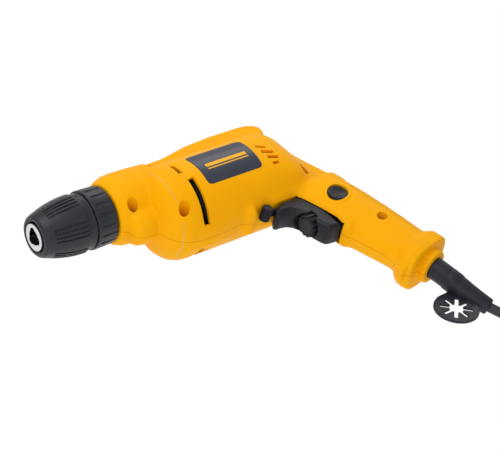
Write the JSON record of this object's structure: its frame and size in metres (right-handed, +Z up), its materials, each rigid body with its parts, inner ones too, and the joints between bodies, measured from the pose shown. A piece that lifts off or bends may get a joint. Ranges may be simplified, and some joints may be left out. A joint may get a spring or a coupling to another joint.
{
  "type": "corded pistol-grip drill",
  "caption": "Mains-corded pistol-grip drill with a keyless chuck, trigger, speed dial, direction lever, lock-on button, ridge along the top and coiled cord, lying on its side.",
  "frame": {"origin": "on the surface the drill lies on, under the middle of its bounding box, measured without the cord, coil and plug", "axes": "+X forward along the spindle, out of the chuck's nose; +Z up from the surface, so the drill lies on its right side; +Y towards the handle's end"},
  "size_m": [0.401, 0.3152, 0.0716],
  "materials": {
    "yellow_plastic": "fine moulded texture, satin",
    "zinc_steel": "zinc plated",
    "label_print": "dark satin label film with no lettering",
    "cast_aluminium": "as cast",
    "bearing_steel": "ground",
    "sintered_bronze": "oiled sintered bronze",
    "black_rubber": "smooth soft PVC",
    "lamination_steel": "stacked laminations, varnished",
    "copper_wire": "enamelled winding wire",
    "commutator_copper": "turned copper",
    "black_plastic": "moulded",
    "brass_sheet": "pressed",
    "carbon": "pressed carbon",
    "spring_steel": "drawn wire",
    "suppressor_case": "epoxy filled box",
    "lead_insulation": "PVC insulation",
    "fan_plastic": "glass filled nylon",
    "chuck_steel": "turned",
    "sleeve_plastic": "glass filled nylon, satin",
    "black_oxide_steel": "black oxide",
    "jaw_steel": "hardened and ground",
    "trigger_plastic": "moulded, satin",
    "cord_jacket": "rubber jacket",
    "plug_plastic": "moulded PVC",
    "nickel_plate": "nickel plated brass"
  },
  "bodies": {
    "housing": {"housing_left": "yellow_plastic", "housing_right": "yellow_plastic", "housing_screws": "zinc_steel", "rating_plate": "label_print", "side_label": "label_print", "gear_plate": "cast_aluminium", "spindle_front_bearing": "bearing_steel", "spindle_rear_bush": "sintered_bronze", "spindle_seal": "black_rubber", "motor_front_bearing": "bearing_steel", "motor_rear_bearing": "bearing_steel", "stator_core": "lamination_steel", "field_coils": "copper_wire", "fan_baffle": "black_plastic", "brush_holders": "brass_sheet", "carbon_brushes": "carbon", "brush_springs": "spring_steel", "switch_body": "black_plastic", "trigger_spring": "spring_steel", "suppressor": "suppressor_case", "internal_leads": "lead_insulation", "cord_clamp": "black_plastic", "clamp_screws": "zinc_steel", "cord_boot": "black_rubber", "key_holder": "black_rubber", "lock_spring": "spring_steel", "cord_lead": "cord_jacket", "cord_coil": "cord_jacket", "plug_body": "plug_plastic", "plug_pins": "nickel_plate"},
    "armature": {"armature_shaft": "bearing_steel", "armature_core": "lamination_steel", "armature_windings": "copper_wire", "commutator": "commutator_copper", "cooling_fan": "fan_plastic"},
    "spindle": {"spindle": "bearing_steel", "spindle_gear": "bearing_steel", "gear_clip": "spring_steel", "chuck_body": "chuck_steel", "rear_sleeve": "sleeve_plastic", "thrust_balls": "bearing_steel", "chuck_screw": "black_oxide_steel"},
    "chuck_sleeve": {"front_sleeve": "sleeve_plastic", "chuck_nut": "chuck_steel"},
    "jaw_1": {"jaw_1": "jaw_steel"},
    "jaw_2": {"jaw_2": "jaw_steel"},
    "jaw_3": {"jaw_3": "jaw_steel"},
    "trigger": {"trigger": "trigger_plastic"},
    "speed_dial": {"speed_dial": "trigger_plastic"},
    "direction_lever": {"direction_lever": "trigger_plastic"},
    "lock_button": {"lock_button": "trigger_plastic"}
  },
  "joints": [
    {"name": "spindle_spin", "type": "hinge", "parent": "housing", "child": "spindle", "pos_m": [0.0715, -0.086, 0.038], "axis": [1, 0, 0], "continuous": true},
    {"name": "armature_spin", "type": "hinge", "parent": "housing", "child": "armature", "pos_m": [-0.0085, -0.06633, 0.03576], "axis": [1, 0, 0], "continuous": true},
    {"name": "chuck_sleeve_turn", "type": "hinge", "parent": "spindle", "child": "chuck_sleeve", "pos_m": [0.1065, -0.086, 0.038], "axis": [1, 0, 0], "range_deg": [0, 3600]},
    {"name": "jaw_1_slide", "type": "slide", "parent": "spindle", "child": "jaw_1", "axis": [0.9613, 0.1099, -0.2528], "range_m": [0, 0.017]},
    {"name": "jaw_2_slide", "type": "slide", "parent": "spindle", "child": "jaw_2", "axis": [0.9613, 0.164, 0.2216], "range_m": [0, 0.017]},
    {"name": "jaw_3_slide", "type": "slide", "parent": "spindle", "child": "jaw_3", "axis": [0.9613, -0.2739, 0.0312], "range_m": [0, 0.017]},
    {"name": "trigger_pull", "type": "slide", "parent": "housing", "child": "trigger", "axis": [-1, 0, 0], "range_m": [0, 0.007], "stiffness_N_per_m": 500, "springref_m": -0.01, "deforming": ["trigger_spring"]},
    {"name": "speed_dial_turn", "type": "hinge", "parent": "trigger", "child": "speed_dial", "pos_m": [-0.0535, -0.0085, 0.02917], "axis": [1, 0, 0], "range_deg": [-135, 135]},
    {"name": "direction_lever_swing", "type": "hinge", "parent": "housing", "child": "direction_lever", "pos_m": [-0.0545, -0.02857, 0.03146], "axis": [0, 0.9936, -0.1132], "range_deg": [0, 24]},
    {"name": "lock_button_press", "type": "slide", "parent": "housing", "child": "lock_button", "axis": [0, -0.1132, -0.9936], "range_m": [0, 0.003], "stiffness_N_per_m": 800, "springref_m": -0.002, "deforming": ["lock_spring"]}
  ],
  "couplings": [
    {"joint": "armature_spin", "follows": "spindle_spin", "ratio": -6.3333},
    {"joint": "jaw_1_slide", "follows": "chuck_sleeve_turn", "m_per_rad": 0.00027056},
    {"joint": "jaw_2_slide", "follows": "chuck_sleeve_turn", "m_per_rad": 0.00027056},
    {"joint": "jaw_3_slide", "follows": "chuck_sleeve_turn", "m_per_rad": 0.00027056}
  ]
}
